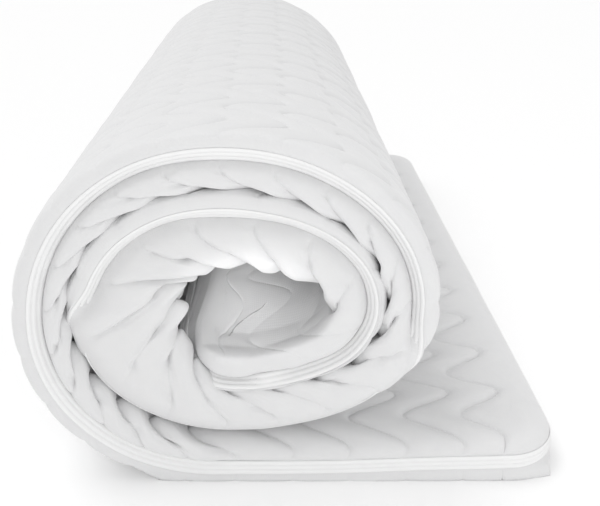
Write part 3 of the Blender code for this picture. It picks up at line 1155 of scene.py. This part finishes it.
@dataclass
class EdgeTape:
    """The ribbed tape round the topper's four sides."""

    roll: Roll
    quilting: Quilting
    rim: Rim
    finish: WovenTape = field(default_factory=WovenTape)
    thick: float = 0.0015
    rib: float = 0.0012
    ribs: int = 3
    points_a_rib: int = 5
    step: float = 0.0035
    corner_steps: int = 24

    def profile(self) -> np.ndarray:
        """Draws the tape's section.

        Returns:
            Rows of inset and height, round the section once.
        """
        count, half = self.ribs * self.points_a_rib, self.rim.half_tape
        height = np.linspace(half, -half, count + 1)
        inset = self.rib * (1 - np.abs(np.sin(np.linspace(0, self.ribs * math.pi, count + 1))) ** 0.7)
        front = np.column_stack([inset, height])
        return np.vstack([front, [[self.thick, -half], [self.thick, half]]])

    def route(self) -> tuple[np.ndarray, np.ndarray]:
        """Walks once round the flat topper's rounded outline.

        Returns:
            Rows of s and y a corner's radius inside the outline, and the ways out from them.
        """
        length, width, corner = self.quilting.length, self.quilting.width, self.quilting.corner
        starts, outs = [], []
        arc = np.linspace(0, math.pi / 2, self.corner_steps, endpoint=False)
        corners = (
            (corner, -width / 2 + corner, -math.pi),
            (length - corner, -width / 2 + corner, -math.pi / 2),
            (length - corner, width / 2 - corner, 0.0),
            (corner, width / 2 - corner, math.pi / 2),
        )
        for k, (s, y, turned) in enumerate(corners):
            for angle in arc + turned:
                starts.append((s, y))
                outs.append((math.cos(angle), math.sin(angle)))
            after = corners[(k + 1) % 4]
            reach = math.hypot(after[0] - s, after[1] - y)
            straight = np.linspace(0, 1, round(reach / self.step), endpoint=False)
            for t in straight:
                starts.append((s + (after[0] - s) * t, y + (after[1] - y) * t))
                outs.append((math.cos(turned + math.pi / 2), math.sin(turned + math.pi / 2)))
        return np.array(starts), np.array(outs)

    def build(self) -> bpy.types.Object:
        """Sweeps the section round the topper, rolls it and dresses it.

        Returns:
            The finished piece.
        """
        profile, half, corner = self.profile(), self.rim.half_tape, self.quilting.corner
        starts, outs = self.route()
        size, stations = len(profile), len(starts)
        along = np.clip(starts[:, 0] + outs[:, 0] * corner, 0, self.quilting.length)
        upper, lower = self.rim.tape_edges(along, outs[:, 1] ** 2)
        down = (lower - upper) / (2 * half)
        inset, fall = profile[:, 0], half - profile[:, 1]
        reach = corner - (upper[:, :1] + down[:, :1] * fall - down[:, 1:] * inset)
        heights = upper[:, 1:] + down[:, 1:] * fall + down[:, :1] * inset
        spots = starts[:, None, :] + outs[:, None, :] * reach[:, :, None]
        flat = np.concatenate([spots, heights[:, :, None]], axis=2).reshape(-1, 3)
        here = (np.arange(stations) * size)[:, None] + np.arange(size)[None, :]
        there, after = np.roll(here, -1, axis=0), np.roll(here, -1, axis=1)
        faces = np.stack([here, after, np.roll(there, -1, axis=1), there], axis=-1).reshape(-1, 4)
        piece = new_piece("ribbed_edge_tape", self.roll.carry(flat), faces)
        along = np.concatenate([[0], np.cumsum(np.linalg.norm(np.diff(spots[:, 0], axis=0), axis=1))])
        map_cloth(piece, np.repeat(along, size), np.tile(profile[:, 1], stations))
        piece.data.materials.append(self.finish.material())
        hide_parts("edge_tape")
        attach(piece, "root")
        return piece


@dataclass
class Studio:
    """The floor, the lights and the camera."""

    floor_finish: PaleFloor = field(default_factory=PaleFloor)
    floor_size: float = 24.0
    sky: float = 0.74
    sun_power: float = 0.95
    sun_spread: float = 0.7
    sun_from: Place = (-0.42, 0.16, 0.90)
    fill_power: float = 2.0
    fill_size: float = 0.5
    fill_place: Place = (0.10, -1.50, 0.85)
    fill_aim: Place = (-0.03, -0.45, 0.20)
    low_power: float = 1.0
    low_size: float = 0.4
    low_place: Place = (0.75, -1.25, 0.30)
    low_aim: Place = (0.02, -0.40, 0.08)
    # A flattened soft spot through the roll's open end
    hollow_power: float = 62.0
    hollow_place: Place = (0.0, -1.25, 0.46)
    hollow_aim: Place = (-0.046, -0.45, 0.196)
    hollow_cone: float = math.radians(6.4)
    hollow_softness: float = 0.04
    hollow_scale: Place = (1.0, 0.55, 1.0)
    camera_place: Place = (-0.028, -1.040, 0.515)
    camera_tilt: float = 0.4324
    lens: float = 46.8
    sensor: float = 36.0
    shift_x: float = 0.0533

    def floor(self) -> bpy.types.Object:
        """Lays the plain floor."""
        bpy.ops.object.select_all(action="DESELECT")
        bpy.ops.mesh.primitive_plane_add(size=self.floor_size, location=(0, 0, 0))
        floor = bpy.context.object
        floor.name = "floor"
        floor.data.materials.append(self.floor_finish.material())
        return floor

    def lights(self) -> None:
        """Hangs a wide soft light over the roll and fills the rest evenly."""
        world = bpy.data.worlds.new("soft studio light")
        bpy.context.scene.world = world
        world.use_nodes = True
        world.node_tree.nodes["Background"].inputs["Color"].default_value = (1, 1, 1, 1)
        world.node_tree.nodes["Background"].inputs["Strength"].default_value = self.sky
        self.lamp("key", "SUN", self.sun_from, (0, 0, 0), energy=self.sun_power, angle=self.sun_spread)
        self.lamp("fill", "AREA", self.fill_place, self.fill_aim, energy=self.fill_power, size=self.fill_size)
        self.lamp("low_fill", "AREA", self.low_place, self.low_aim, energy=self.low_power, size=self.low_size)
        spot = self.lamp(
            "hollow_fill", "SPOT", self.hollow_place, self.hollow_aim, energy=self.hollow_power,
            spot_size=self.hollow_cone, spot_blend=1.0, shadow_soft_size=self.hollow_softness,
        )
        spot.scale = self.hollow_scale

    def lamp(self, name: str, kind: str, place: Place, aim: Place, **settings: float) -> bpy.types.Object:
        """Hangs one lamp.

        Args:
            name: The lamp's name.
            kind: Blender's name of its type.
            place: Where it hangs, or for a sun any point that it shines from.
            aim: The point that it shines at.
            **settings: Its properties by name.

        Returns:
            The lamp.
        """
        light = bpy.data.lights.new(name, kind)
        for key, value in settings.items():
            setattr(light, key, value)
        lamp = bpy.data.objects.new(name, light)
        lamp.location = place
        lamp.rotation_euler = (Vector(aim) - Vector(place)).to_track_quat("-Z", "Y").to_euler()
        bpy.context.scene.collection.objects.link(lamp)
        return lamp

    def camera(self) -> None:
        """Stands the camera where the photograph was taken from."""
        lens = bpy.data.cameras.new("camera")
        lens.lens, lens.sensor_width, lens.shift_x = self.lens, self.sensor, self.shift_x
        camera = bpy.data.objects.new("camera", lens)
        camera.location = self.camera_place
        camera.rotation_euler = (math.pi / 2 - self.camera_tilt, 0, 0)
        bpy.context.scene.collection.objects.link(camera)
        bpy.context.scene.camera = camera

    def build(self) -> None:
        """Sets up the studio, and shows its colours as they are."""
        self.floor()
        self.lights()
        self.camera()
        bpy.context.scene.view_settings.view_transform = "Standard"


def main() -> None:
    """Builds the topper and the studio."""
    logging.basicConfig(level=logging.INFO, format="%(name)s: %(message)s")
    roll = Roll(centre_x=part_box("edge_tape")[1].x - TAIL_REACH)
    quilting, rim = Quilting(length=roll.length), Rim(roll)
    for maker in (QuiltedPad(roll, quilting, rim), EdgeTape(roll, quilting, rim)):
        piece = maker.build()
        sides = sum(len(p.vertices) - 2 for p in piece.data.polygons)
        LOG.info("%s: %d triangles", piece.name, sides)
    Studio().build()


if __name__ == "__main__":
    main()
